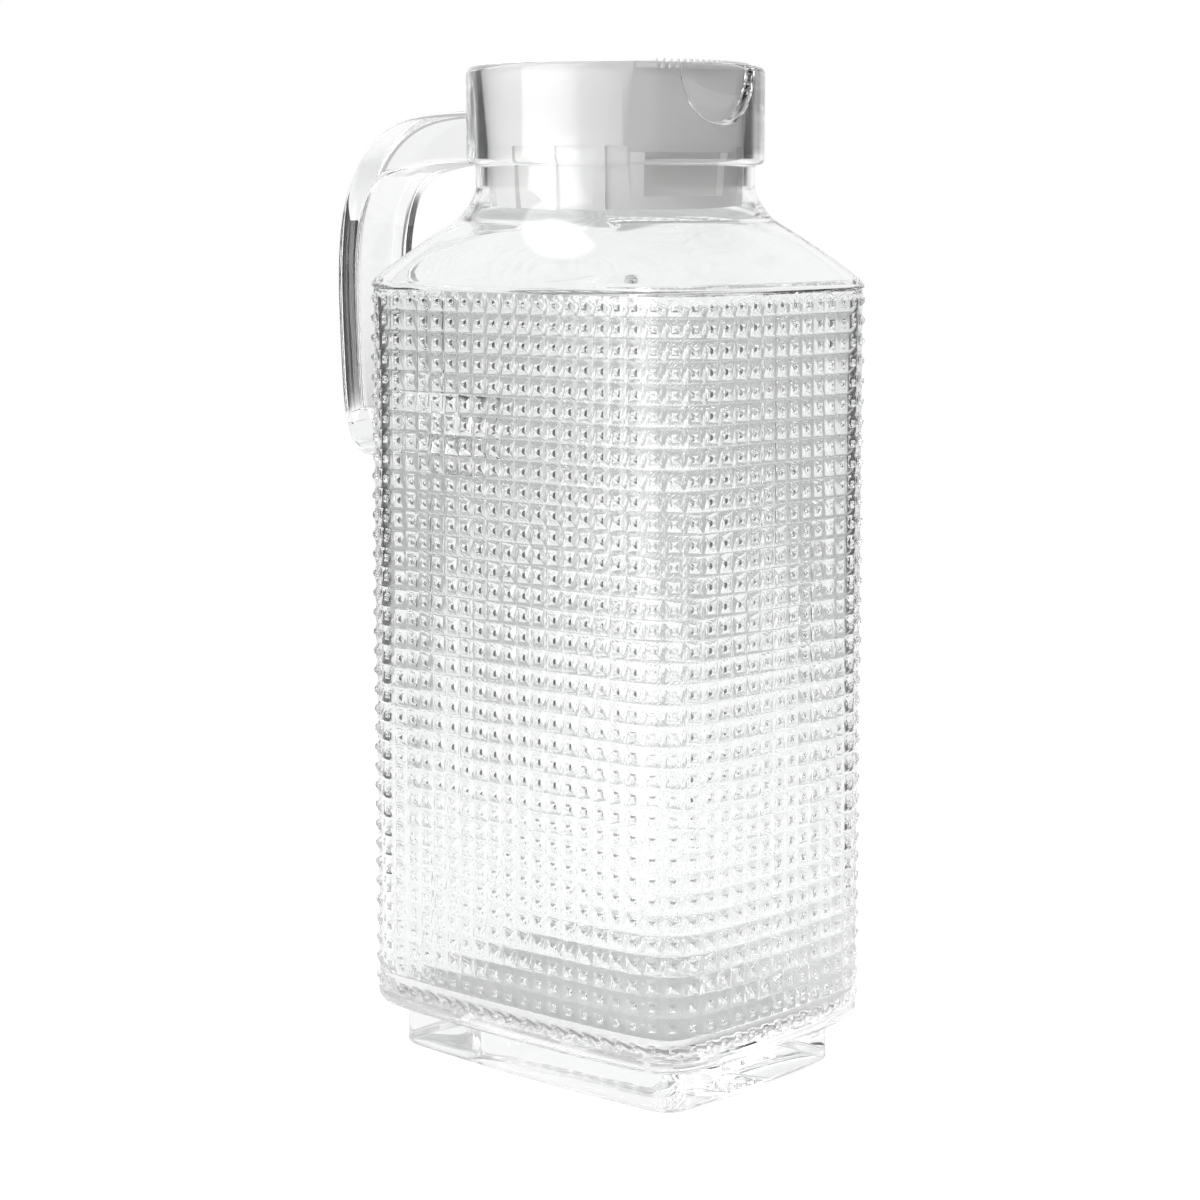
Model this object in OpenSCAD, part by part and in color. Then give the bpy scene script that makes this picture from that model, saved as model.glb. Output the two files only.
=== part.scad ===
// Glass water jug: a pressed-glass vessel with diamond-point relief, a strap handle and a push-in lid
// The origin is the centre of the foot on the neck's axis, +X points to the spout and +Z up
// All lengths are in millimetres and all angles in degrees

/* [Vessel] */
// Height of the glass rim above the table
rim_z = 270; // [250:1:290]
// Length of the body from the handle side to the spout side, over the points
body_l = 121; // [115:0.5:130]
// Width of the body across, over the points
body_w = 91.4; // [88:0.2:96]
// Radius of the body's upright corners
corner_r = 15; // [12:0.5:18]
// Bulge of the two broad faces
face_bulge = 1.6; // [0.8:0.1:2.4]
// Bulge of the two narrow faces
end_bulge = 1.2; // [0.6:0.1:1.8]
// Thickness of the glass wall
wall = 3.4; // [2.8:0.1:4]
// Height of the inside floor above the recess of the foot
floor_rise = 3.6; // [2.8:0.1:6]
// Radius where the inside wall meets the floor
floor_r = 9; // [5:0.5:11]

/* [Foot] */
// Height of the recessed foot
foot_h = 12.3; // [9:0.1:15]
// How far the foot stands in from the points
foot_inset = 9; // [7:0.5:10]
// Height of the plain band between the foot and the relief
band_h = 4.5; // [3:0.1:6]
// How far the lower edge of the plain band is drawn in
band_inset = 2.4; // [1.8:0.1:3]
// Rounding of the foot's lower edge
foot_round = 1.5; // [1:0.1:2]

/* [Relief] */
// Spacing of the diamond points, up and round
point_pitch = 5.33; // [5.32:0.01:6.5]
// Height of the diamond points
point_h = 1.1; // [0.7:0.05:1.4]

/* [Shoulder and collar] */
// Height of the straight slope of the shoulder
slope_h = 17.6; // [14:0.1:20]
// How far the round top of the slope stands out from the neck
cove_w = 5; // [4:0.1:5.6]
// Height of the hollow curve between slope and neck
cove_h = 8.4; // [6:0.1:10]
// Thickness of the glass of the neck
neck_t = 3; // [2.8:0.1:3.9]
// Height of the neck
neck_h = 6; // [4:0.1:8]
// Radius of the throat below the tapered mouth
throat_r = 34.5; // [33.8:0.1:34.8]
// How much wider the mouth is at the rim than at the throat
mouth_flare = 1.8; // [1.4:0.1:2.2]
// Thickness of the collar at the rim
collar_t = 3.7; // [3.4:0.1:4.5]
// Height of the collar
collar_h = 26; // [24:0.1:28]
// Rounding of the collar's edges
collar_round = 1.8; // [1.2:0.1:1.9]
// Depth of the tapered mouth
mouth_depth = 21.4; // [20:0.1:23]

/* [Pour channel] */
// Width of the channel at the rim
channel_w = 27.4; // [24:0.2:30]
// Depth of the channel into the collar at the rim
channel_d = 2.2; // [1.8:0.1:2.4]
// Height of the channel below the rim
channel_h = 16; // [13:0.5:19]

/* [Handle] */
// Distance from the neck's axis to the outside of the strap
handle_reach = 98.5; // [94:0.5:104]
// Width of the strap
strap_w = 22; // [18:0.5:25]
// Thickness of the strap
strap_t = 9.2; // [8:0.1:10]
// Rounding of the strap's edges
strap_round = 1.6; // [1:0.1:2.4]
// How far the strap leans in towards the body at its lower end
strap_lean = 2.4; // [0:0.2:4]
// Height of the arm where it leaves the collar
arm_h = 14; // [12:0.2:16]
// Height of the arm's lower side above the collar's lower edge
arm_lift = 1.2; // [0.6:0.1:3]
// Drop of the upper bend from the arm's middle to the straight strap
bend_h = 41.8; // [36:0.2:46]
// Height of the lower arm's middle above the table
low_arm_z = 167; // [160:1:174]
// Height of the lower arm where it meets the body
low_arm_h = 15; // [12:0.2:17]
// Height of the lower bend
elbow_h = 6.5; // [5:0.5:10]
// Thickness of the plain patch of glass that the lower arm is fused to
patch_t = 0.6; // [0.4:0.1:1]
// Width of that patch beyond the arm on every side
patch_margin = 2.5; // [1.5:0.1:4]

/* [Lid] */
// Gap between the lid's plug and the glass all round
lid_gap = 0.3; // [0.2:0.05:0.5]
// Turn of the lid's pour window away from the spout
lid_turn = -14.4; // [-45:0.1:45]
// Height of the lid's top above the rim
lid_proud = 0.9; // [0.5:0.1:1.6]
// Height of the lid's upright edge, which carries the grip ridges
edge_h = 2.6; // [2:0.1:3.5]
// Thickness of the lid's walls
lid_wall = 1.8; // [1.5:0.1:2.1]
// Step in from the plug to the strainer skirt
skirt_step = 0.6; // [0.3:0.1:1]
// Draft of the strainer skirt from top to bottom
skirt_draft = 0.8; // [0.4:0.1:1.2]
// Height of the strainer skirt
skirt_h = 17.6; // [15.5:0.1:19]
// How far the finger well stands in from the plug's foot
well_inset = 5.2; // [4.8:0.1:7]
// Depth of the finger well
well_depth = 15; // [12:0.5:17]
// Width of the grip bar across the well
grip_w = 7; // [5.5:0.1:9]
// How far the flat pour panel cuts into the plug at its top
panel_cut_top = 3.75; // [3.2:0.05:4.3]
// How far the flat pour panel cuts into the plug at its foot
panel_cut_foot = 4.75; // [4.2:0.05:4.9]
// Angle that the pour window takes up
window_angle = 42.8; // [38:0.2:46]
// Height of the pour window
window_h = 11.8; // [9:0.1:12.5]
// Height of the bridge between the plug's lower edge and the window
bridge_h = 1.6; // [1:0.1:2.2]
// Number of strainer slots opposite the window
slot_count = 5; // [3:1:6]
// Angle from one strainer slot to the next
slot_step = 14; // [13:0.5:16]
// Angle that a strainer slot takes up
slot_angle = 10; // [8:0.5:11]
// Number of centring ribs on each side of the skirt
rib_count = 5; // [3:1:5]
// Angle from the window's middle to the first centring rib
rib_start = 40.7; // [36:0.1:44]
// Angle from one centring rib to the next
rib_step = 21.6; // [19:0.1:22]
// Width of the centring ribs
rib_w = 3.1; // [2:0.1:4]
// Number of grip grooves on the edge above the panel
groove_count = 11; // [7:2:13]
// Angle from one grip groove to the next
groove_step = 3.2; // [2.6:0.1:3.6]
// Depth of the grip grooves
groove_d = 0.5; // [0.3:0.05:0.6]
// Radius of the grip grooves
groove_r = 0.65; // [0.6:0.05:0.75]

/* [Hidden] */
over = 2;
fine = 96;
glass_tint = [0.82, 0.9, 0.92, 0.5];

// Heights of the vessel, from the rim down and from the table up
collar_z = rim_z - collar_h;
neck_z = collar_z - neck_h;
cove_z = neck_z - cove_h;
shoulder_z = cove_z - slope_h;
seat_z = rim_z - mouth_depth;
relief_z = foot_h + band_h;
relief_top = shoulder_z - point_h;
floor_z = foot_h + floor_rise;

// Radii of the vessel's round parts, from the throat outwards
mouth_r = throat_r + mouth_flare;
collar_r = mouth_r + collar_t;
neck_r = throat_r + neck_t;
slope_top_r = neck_r + cove_w;

// Shape of the body seen from above at the bottom of the relief: four broad arcs and four corner arcs
half_l = body_l / 2 - point_h;
half_w = body_w / 2 - point_h;
corner_x = half_l - corner_r - end_bulge;
corner_y = half_w - corner_r - face_bulge;
end_r = (pow(corner_r + end_bulge, 2) + pow(corner_y, 2) - pow(corner_r, 2)) / (2 * end_bulge);
face_r = (pow(corner_r + face_bulge, 2) + pow(corner_x, 2) - pow(corner_r, 2)) / (2 * face_bulge);
end_angle = atan2(corner_y, corner_x - half_l + end_r);
face_angle = atan2(corner_x, corner_y - half_w + face_r);
end_len = end_r * end_angle * PI / 180;
corner_len = corner_r * (90 - end_angle - face_angle) * PI / 180;
face_len = face_r * face_angle * PI / 180;
quarter_len = end_len + corner_len + face_len;

// Point of the first quarter at a share of its length, moved outwards by grow
function quarter_point(share, grow) =
    let (s = share * quarter_len)
    s <= end_len
    ? let (a = s / end_r * 180 / PI)
      [half_l - end_r + (end_r + grow) * cos(a), (end_r + grow) * sin(a)]
    : s <= end_len + corner_len
    ? let (a = end_angle + (s - end_len) / corner_r * 180 / PI)
      [corner_x + (corner_r + grow) * cos(a), corner_y + (corner_r + grow) * sin(a)]
    : let (a = 90 - (quarter_len - s) / face_r * 180 / PI)
      [(face_r + grow) * cos(a), half_w - face_r + (face_r + grow) * sin(a)];

// Point of the whole outline at a share of its length, counter-clockwise from +X
function outline_point(share, grow) =
    let (t = share * 4, q = floor(t) % 4, u = t - floor(t))
    let (p = quarter_point(q % 2 == 0 ? u : 1 - u, grow))
    [q == 1 || q == 2 ? -p[0] : p[0], q >= 2 ? -p[1] : p[1]];

// Ring of n points at one height: the outline, blended towards a circle by round_share
function body_ring(n, z, grow, r = 1, round_share = 0) =
    [for (i = [0 : n - 1])
        let (p = outline_point(i / n, grow), a = 360 * i / n)
        [p[0] + (r * cos(a) - p[0]) * round_share, p[1] + (r * sin(a) - p[1]) * round_share, z]];

// Triangles between two rings of n points that start at points a and b, with b above a
function band_faces(n, a, b) =
    [for (i = [0 : n - 1])
        let (j = (i + 1) % n)
        each [[a + i, b + i, b + j], [a + i, b + j, a + j]]];

function cap_down(n, a) = [for (i = [0 : n - 1]) a + i];
function cap_up(n, a) = [for (i = [n - 1 : -1 : 0]) a + i];

// Closed solid through a stack of rings of equal number
module skin(rings) {
    n = len(rings[0]);
    last = len(rings) - 1;
    polyhedron(
        points = [for (ring = rings) each ring],
        faces = [
            cap_down(n, 0),
            for (k = [0 : last - 1]) each band_faces(n, k * n, (k + 1) * n),
            cap_up(n, last * n)
        ]
    );
}

// Rows and columns of the relief
point_rows = round((relief_top - relief_z) / point_pitch);
point_columns = 2 * round(2 * quarter_len / point_pitch);
row_h = (relief_top - relief_z) / point_rows;

// Hollow curve between the slope and the neck, as shares of its height and of its width
cove_shares = [[0, 1], [0.36, 0.67], [0.72, 0.22], [1, 0]];

// Rings below the relief: the foot, its recess and the plain band
foot_rings = [
    body_ring(point_columns, 0, point_h - foot_inset - foot_round),
    body_ring(point_columns, foot_round, point_h - foot_inset),
    body_ring(point_columns, foot_h, point_h - foot_inset),
    body_ring(point_columns, foot_h, -band_inset),
    body_ring(point_columns, foot_h + band_h / 2, point_h - band_inset / 2)
];

// Rings above the relief: the shoulder's edge, its slope, the hollow curve and the neck
neck_rings = [
    body_ring(point_columns, shoulder_z, point_h),
    body_ring(point_columns, shoulder_z + slope_h / 2, 0, slope_top_r, 1 / 2),
    for (share = cove_shares)
        body_ring(point_columns, cove_z + cove_h * share[0], 0, neck_r + (slope_top_r - neck_r) * share[1], 1),
    body_ring(point_columns, collar_z + over, 0, neck_r, 1)
];

// Outside of the vessel up to the collar, with every diamond point, as one closed solid
module relief_block() {
    n = point_columns;
    grid_start = n * len(foot_rings);
    tip_start = grid_start + n * (point_rows + 1);
    neck_start = tip_start + n * point_rows;
    grid = [for (k = [0 : point_rows]) each body_ring(n, relief_z + k * row_h, 0)];
    tips = [
        for (k = [0 : point_rows - 1], i = [0 : n - 1])
            let (p = outline_point((i + 1 / 2) / n, point_h))
            [p[0], p[1], relief_z + (k + 1 / 2) * row_h]
    ];
    polyhedron(
        points = [for (ring = foot_rings) each ring, each grid, each tips, for (ring = neck_rings) each ring],
        faces = [
            cap_down(n, 0),
            for (k = [0 : len(foot_rings) - 1]) each band_faces(n, k * n, (k + 1) * n),
            for (k = [0 : point_rows - 1], i = [0 : n - 1])
                let (j = (i + 1) % n, low = grid_start + k * n, high = low + n, tip = tip_start + k * n + i)
                each [
                    [low + i, tip, low + j],
                    [low + j, tip, high + j],
                    [high + j, tip, high + i],
                    [high + i, tip, low + i]
                ],
            each band_faces(n, grid_start + point_rows * n, neck_start),
            for (k = [0 : len(neck_rings) - 2]) each band_faces(n, neck_start + k * n, neck_start + (k + 1) * n),
            cap_up(n, neck_start + (len(neck_rings) - 1) * n)
        ]
    );
}

// Inside of the vessel below the throat
module cavity() {
    n = point_columns / 2;
    floor_steps = 3;
    skin([
        for (k = [0 : floor_steps])
            let (a = 90 * k / floor_steps)
            body_ring(n, floor_z + floor_r * (1 - cos(a)), -wall - floor_r * (1 - sin(a))),
        body_ring(n, shoulder_z - wall / 2, -wall),
        body_ring(n, shoulder_z + slope_h / 2 - wall / 2, -wall, slope_top_r - wall, 1 / 2),
        body_ring(n, cove_z - wall / 2, -wall, slope_top_r - wall, 1),
        body_ring(n, neck_z - cove_h / 2, -wall, throat_r + wall / 2, 1),
        body_ring(n, neck_z, -wall, throat_r - lid_gap, 1)
    ]);
}

// Collar outside, with rounded edges
module collar() {
    inner = throat_r - wall;
    rotate_extrude($fn = fine) {
        translate([inner, collar_z + collar_round]) square([collar_r - inner, collar_h - 2 * collar_round]);
        translate([inner, collar_z]) square([collar_r - collar_round - inner, collar_h]);
        for (z = [collar_z + collar_round, rim_z - collar_round])
            translate([collar_r - collar_round, z]) circle(r = collar_round, $fn = fine);
    }
}

// Tapered mouth and throat that take the lid, open at the top
module mouth() {
    taper = mouth_flare / mouth_depth;
    throat_foot = neck_z - cove_h / 2;
    translate([0, 0, throat_foot]) cylinder(r = throat_r, h = seat_z - throat_foot + over, $fn = fine);
    translate([0, 0, seat_z]) cylinder(r1 = throat_r, r2 = mouth_r + taper * over, h = mouth_depth + over, $fn = fine);
}

// Scoop that leads the water over the rim, cut by a leaning cylinder
module pour_channel() {
    deep_x = mouth_r + channel_d;
    edge_x = sqrt(pow(mouth_r, 2) - pow(channel_w / 2, 2));
    scoop_r = (pow(deep_x - edge_x, 2) + pow(channel_w / 2, 2)) / (2 * (deep_x - edge_x));
    foot_x = mouth_r - mouth_flare * channel_h / mouth_depth;
    lean = atan2(deep_x - foot_x, channel_h);
    translate([deep_x, 0, rim_z])
        rotate([0, lean, 0])
            translate([-scoop_r, 0, -channel_h - over])
                cylinder(r = scoop_r, h = channel_h + 3 * over, $fn = fine);
}

// Plain patch on the back wall that the lower arm of the handle is fused to
patch_x = body_l / 2 + patch_t;
patch_w = strap_w + 2 * patch_margin;
patch_h = low_arm_h + 2 * patch_margin;

module handle_patch() {
    translate([-patch_x, -patch_w / 2, low_arm_z - patch_h / 2])
        cube([patch_t + point_h + wall / 2, patch_w, patch_h]);
}

module glass_body() {
    color(glass_tint)
        difference() {
            union() {
                relief_block();
                collar();
                handle_patch();
            }
            cavity();
            mouth();
            pour_channel();
        }
}

// Middle line of the handle, seen from the side: three cubic curves, each by its ends and two pulls
arm_x = -collar_r + wall;
arm_z = collar_z + arm_lift + arm_h / 2;
strap_x = -handle_reach + strap_t / 2;
strap_z = arm_z - bend_h;
elbow_x = strap_x + strap_lean;
elbow_z = low_arm_z + elbow_h;
arm_pull_share = 0.67;
handle_curves = [
    [[arm_x, arm_z], [arm_x + (strap_x - arm_x) * arm_pull_share, arm_z], [strap_x, arm_z], [strap_x, strap_z]],
    [[strap_x, strap_z], [strap_x, strap_z - elbow_h], [elbow_x - strap_lean / 2, elbow_z + elbow_h / 2],
        [elbow_x, elbow_z]],
    [[elbow_x, elbow_z], [elbow_x + strap_lean, low_arm_z + elbow_h / 4], [elbow_x + elbow_h, low_arm_z],
        [-patch_x, low_arm_z]]
];

function cubic(p, t) =
    pow(1 - t, 3) * p[0] + 3 * pow(1 - t, 2) * t * p[1] + 3 * (1 - t) * pow(t, 2) * p[2] + pow(t, 3) * p[3];

function cubic_slope(p, t) =
    3 * pow(1 - t, 2) * (p[1] - p[0]) + 6 * (1 - t) * t * (p[2] - p[1]) + 3 * pow(t, 2) * (p[3] - p[2]);

// Thickness at a place along the handle, where the places 0, 1, 2 and 3 are the ends of the curves
function handle_t(place) =
    lookup(place, [[0, arm_h], [0.3, arm_h], [0.75, strap_t], [2, strap_t], [2.4, low_arm_h], [3, low_arm_h]]);

// Section of the handle, across its width and its thickness, with rounded edges
function strap_section(t) =
    [for (corner = [0 : 3], a = [0 : 45 : 90])
        let (sx = corner == 0 || corner == 3 ? 1 : -1, sy = corner < 2 ? 1 : -1, turn = 90 * corner + a)
        [sx * (strap_w / 2 - strap_round) + strap_round * cos(turn),
            sy * (t / 2 - strap_round) + strap_round * sin(turn)]];

function handle_ring(place) =
    let (k = min(floor(place), 2), p = cubic(handle_curves[k], place - k), d = cubic_slope(handle_curves[k], place - k))
    let (along = d / norm(d))
    [for (q = strap_section(handle_t(place))) [p[0] - along[1] * q[1], q[0], p[1] + along[0] * q[1]]];

handle_places = [
    for (i = [0 : 11]) i / 12,
    for (i = [0 : 2]) 1 + i / 3,
    for (i = [0 : 10]) 2 + i / 10
];

module glass_handle() {
    color(glass_tint)
        difference() {
            skin([for (place = handle_places) handle_ring(place)]);
            translate([0, 0, collar_z - over]) cylinder(r = collar_r, h = collar_h + 2 * over, $fn = fine);
        }
}

// Heights and radii of the lid
lid_top = rim_z + lid_proud;
edge_z = lid_top - edge_h;
skirt_z = seat_z - skirt_h;
plug_foot_r = throat_r - lid_gap;
edge_r = plug_foot_r + mouth_flare * (edge_z - seat_z) / mouth_depth;
skirt_r = plug_foot_r - skirt_step;
window_top = seat_z - bridge_h;
window_foot = window_top - window_h;
well_z = lid_top - well_depth;
well_r = plug_foot_r - well_inset;
panel_top = edge_r - panel_cut_top;
panel_foot = plug_foot_r - panel_cut_foot;
edge_round = lid_wall / 3;

// Triangle from the lid's axis outwards along +X, wide enough to cut through the skirt
module wedge(angle) {
    reach = edge_r + over;
    polygon([[0, 0], [reach, -reach * tan(angle / 2)], [reach, reach * tan(angle / 2)]]);
}

// Distance of the flat pour panel from the lid's axis at a height
function panel_x(z) = panel_foot + (panel_top - panel_foot) * (z - window_top) / (edge_z - window_top);

// Everything beyond the flat pour panel up to a height, moved towards the axis by inset
module beyond_panel(inset, top) {
    reach = edge_r + over;
    rotate([90, 0, 0])
        linear_extrude(height = 2 * reach, center = true)
            polygon([
                [panel_foot - inset, window_top], [reach, window_top], [reach, top], [panel_x(top) - inset, top]
            ]);
}

// Outside of the lid: strainer skirt, tapered plug and upright edge
module lid_outside() {
    rotate_extrude($fn = fine)
        polygon([
            [0, skirt_z], [skirt_r - skirt_draft, skirt_z], [skirt_r, seat_z], [plug_foot_r, seat_z],
            [edge_r, edge_z], [edge_r, lid_top - edge_round], [edge_r - edge_round, lid_top], [0, lid_top]
        ]);
}

// Hollow of the lid, open below, with a narrow moat between the plug's wall and the well
module lid_hollow() {
    ceiling = lid_top - lid_wall;
    moat_foot = well_z - lid_wall;
    difference() {
        rotate_extrude($fn = fine)
            polygon([
                [0, skirt_z - over], [skirt_r - skirt_draft - lid_wall, skirt_z - over],
                [skirt_r - skirt_draft - lid_wall, skirt_z], [skirt_r - lid_wall, seat_z],
                [plug_foot_r - lid_wall, seat_z + skirt_step], [edge_r - lid_wall, edge_z],
                [edge_r - lid_wall, ceiling], [well_r + lid_wall, ceiling], [well_r + lid_wall, moat_foot],
                [0, moat_foot]
            ]);
        beyond_panel(lid_wall, lid_top);
    }
}

// Finger well, open above, with the grip bar left standing in it
module finger_well() {
    difference() {
        translate([0, 0, well_z]) cylinder(r = well_r, h = well_depth + over, $fn = fine);
        translate([-well_r - lid_wall, -grip_w / 2, well_z - over])
            cube([2 * (well_r + lid_wall), grip_w, well_depth + over - grip_w / 2]);
        translate([-well_r - lid_wall, 0, lid_top - grip_w / 2])
            rotate([0, 90, 0]) cylinder(d = grip_w, h = 2 * (well_r + lid_wall), $fn = fine);
    }
}

// Slit that hollows the grip bar from below
module grip_slit() {
    slit_w = grip_w - 2 * lid_wall;
    translate([-well_r + lid_wall, -slit_w / 2, well_z - lid_wall - over])
        cube([2 * (well_r - lid_wall), slit_w, well_depth - grip_w / 2 + over]);
}

// Pour window, which runs on into the space in front of the panel
module pour_window() {
    reach = edge_r + over;
    above = window_top + over;
    intersection() {
        translate([0, 0, window_foot - over]) linear_extrude(height = window_h + 3 * over) wedge(window_angle);
        rotate([90, 0, 0])
            linear_extrude(height = 2 * reach, center = true)
                polygon([
                    [0, window_foot], [reach, window_foot], [reach, above], [panel_x(above), above],
                    [panel_foot, window_top], [0, window_top]
                ]);
    }
}

// Strainer slots on the opposite side of the skirt
module strainer_slots() {
    translate([0, 0, window_foot])
        linear_extrude(height = window_h)
            for (k = [0 : slot_count - 1])
                rotate(180 + (k - (slot_count - 1) / 2) * slot_step) wedge(slot_angle);
}

// Upright ribs that centre the skirt in the throat, flush with the foot of the plug
module centring_ribs() {
    root_r = skirt_r - skirt_draft - lid_wall / 2;
    rib_h = seat_z - skirt_z;
    translate([0, 0, skirt_z])
        intersection() {
            cylinder(r = plug_foot_r, h = rib_h, $fn = fine);
            for (side = [-1, 1], k = [0 : rib_count - 1])
                rotate([0, 0, side * (rib_start + k * rib_step)])
                    translate([root_r, -rib_w / 2, -over])
                        cube([plug_foot_r - root_r + over, rib_w, rib_h + 2 * over]);
        }
}

// Upright grooves on the edge above the panel
module grip_grooves() {
    for (k = [0 : groove_count - 1])
        rotate([0, 0, (k - (groove_count - 1) / 2) * groove_step])
            translate([edge_r + groove_r - groove_d, 0, edge_z - over])
                cylinder(r = groove_r, h = edge_h + 2 * over, $fn = fine / 4);
}

module lid() {
    color([0.95, 0.95, 0.94])
        rotate([0, 0, lid_turn])
            difference() {
                union() {
                    lid_outside();
                    centring_ribs();
                }
                lid_hollow();
                finger_well();
                grip_slit();
                beyond_panel(0, edge_z);
                pour_window();
                strainer_slots();
                grip_grooves();
            }
}

glass_body();
glass_handle();
lid();
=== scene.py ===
import math

import bmesh
import bpy
from mathutils import Matrix, Vector


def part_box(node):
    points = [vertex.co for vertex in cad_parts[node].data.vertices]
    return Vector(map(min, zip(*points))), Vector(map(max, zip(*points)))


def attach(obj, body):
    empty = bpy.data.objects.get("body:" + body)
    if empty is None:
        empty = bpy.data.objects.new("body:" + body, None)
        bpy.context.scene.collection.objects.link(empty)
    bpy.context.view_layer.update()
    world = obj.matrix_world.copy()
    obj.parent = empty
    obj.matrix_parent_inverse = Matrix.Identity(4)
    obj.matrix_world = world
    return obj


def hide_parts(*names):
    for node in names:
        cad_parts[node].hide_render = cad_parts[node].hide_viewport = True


# Glass water jug: the looks of the pressed-glass vessel with its handle and of the white push-in lid
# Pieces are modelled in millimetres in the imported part's frame, and finished in metres
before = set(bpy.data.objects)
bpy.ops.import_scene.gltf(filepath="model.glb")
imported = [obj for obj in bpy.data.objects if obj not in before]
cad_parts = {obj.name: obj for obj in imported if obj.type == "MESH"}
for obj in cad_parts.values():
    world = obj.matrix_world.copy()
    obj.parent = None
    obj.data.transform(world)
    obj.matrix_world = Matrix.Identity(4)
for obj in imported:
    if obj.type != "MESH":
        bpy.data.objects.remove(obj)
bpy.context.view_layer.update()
print("frame loaded with", ", ".join(sorted(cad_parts)))

mm = 0.001
weldGap = 0.001
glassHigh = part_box("glass_body")[1]
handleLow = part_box("glass_handle")[0]
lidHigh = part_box("lid")[1]


# Helpers that every piece uses
def toObject(bm, name):
    bmesh.ops.scale(bm, vec=(mm, mm, mm), verts=bm.verts)
    bmesh.ops.recalc_face_normals(bm, faces=bm.faces)
    mesh = bpy.data.meshes.new(name)
    bm.to_mesh(mesh)
    bm.free()
    piece = bpy.data.objects.new(name, mesh)
    bpy.context.scene.collection.objects.link(piece)
    return piece


def settle(piece):
    graph = bpy.context.evaluated_depsgraph_get()
    finished = bpy.data.meshes.new_from_object(piece.evaluated_get(graph))
    piece.modifiers.clear()
    piece.data = finished


def combine(base, tool, operation):
    join = base.modifiers.new("combine", "BOOLEAN")
    join.operation = operation
    join.solver = "MANIFOLD"
    join.object = tool
    settle(base)
    bpy.data.objects.remove(tool)


def softShading(piece, sharpAngle):
    piece.data.shade_smooth()
    piece.data.set_sharp_from_angle(angle=math.radians(sharpAngle))
    weighted = piece.modifiers.new("even facets", "WEIGHTED_NORMAL")
    weighted.keep_sharp = True
    weighted.weight = 50


def freshOf(grown, kind):
    return [part for part in grown if isinstance(part, kind)]


# Extrudes a loop of edges, and place gives each new vertex its position
def carryRing(bm, loop, place):
    grown = bmesh.ops.extrude_edge_only(bm, edges=loop)["geom"]
    fresh = freshOf(grown, bmesh.types.BMVert)
    for vert in fresh:
        vert.co = place(vert)
    found = set(fresh)
    return [e for e in freshOf(grown, bmesh.types.BMEdge) if all(v in found for v in e.verts)]


# Adds a vertex in the middle of each edge of a loop, with the mean of its neighbours' layer values
def splitLoop(bm, loop):
    split = bmesh.ops.subdivide_edges(bm, edges=loop, cuts=1)["geom_split"]
    return freshOf(split, bmesh.types.BMEdge)


# Upright prism over a flat outline of corner points, which may be turned about the jug's axis
def prism(points, low, high, name, turn=0):
    bm = bmesh.new()
    face = bm.faces.new([bm.verts.new((x, y, low)) for x, y in points])
    grown = bmesh.ops.extrude_face_region(bm, geom=[face])["geom"]
    bmesh.ops.translate(bm, vec=(0, 0, high - low), verts=freshOf(grown, bmesh.types.BMVert))
    bmesh.ops.rotate(bm, cent=(0, 0, 0), matrix=Matrix.Rotation(math.radians(turn), 3, "Z"), verts=bm.verts)
    return toObject(bm, name)


vessel = {
    "length": 2 * glassHigh.x / mm,
    "width": 2 * glassHigh.y / mm,
    "rimZ": glassHigh.z / mm,
    "cornerRadius": 15.0,
    "faceBulge": 1.6,
    "endBulge": 1.2,
    "wall": 3.4,
    "footHeight": 12.3,
    "footInset": 9.0,
    "footRound": 1.5,
    "footEdge": [(0.0, 1.2), (0.12, 0.6), (0.5, 0.15), (1.1, 0.0)],
    "bandHeight": 4.5,
    "bandInset": 2.4,
    "bandEdge": [(0.12, 0.3), (0.4, 0.2), (0.66, -0.4), (0.86, -1.2)],
    "floorZ": 15.9,
    "floorRadius": 9.0,
    "pointPitch": 5.33,
    "pointHeight": 1.1,
    "facetInset": 1.7,
    "facetRise": 0.48,
    "capSteps": [(0.4, 0.42), (0.3, 0.12)],
    "capTop": 0.03,
    "valleyRounding": 0.2,
    "shoulderZ": 212.0,
    "slopeHeight": 17.6,
    "slopeTopRadius": 42.5,
    "slopeTopWall": 3.9,
    "slopeFullness": 1.25,
    "coveHeight": 8.4,
    "coveHollow": 1.5,
    "neckRadius": 37.5,
    "neckHeight": 6.0,
    "collarRadius": 40.0,
    "collarHeight": 26.0,
    "collarRound": 1.8,
    "collarFillet": 0.6,
    "lipRound": 1.2,
    "mouthRadius": 36.3,
    "throatRadius": 34.5,
    "throatFlare": [(0.5, 0.0), (-1.8, 0.4), (-4.2, 1.6), (-7.2, 3.1)],
    "mouthDepth": 21.4,
    "reliefBevel": 1.1,
    "coveBevel": 2.2,
    "insideBevel": 3.0,
    "bevelSegments": 4,
    "curveSteps": 8,
    "edgeSteps": 5,
    "sharpAngle": 29,
}


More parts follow.
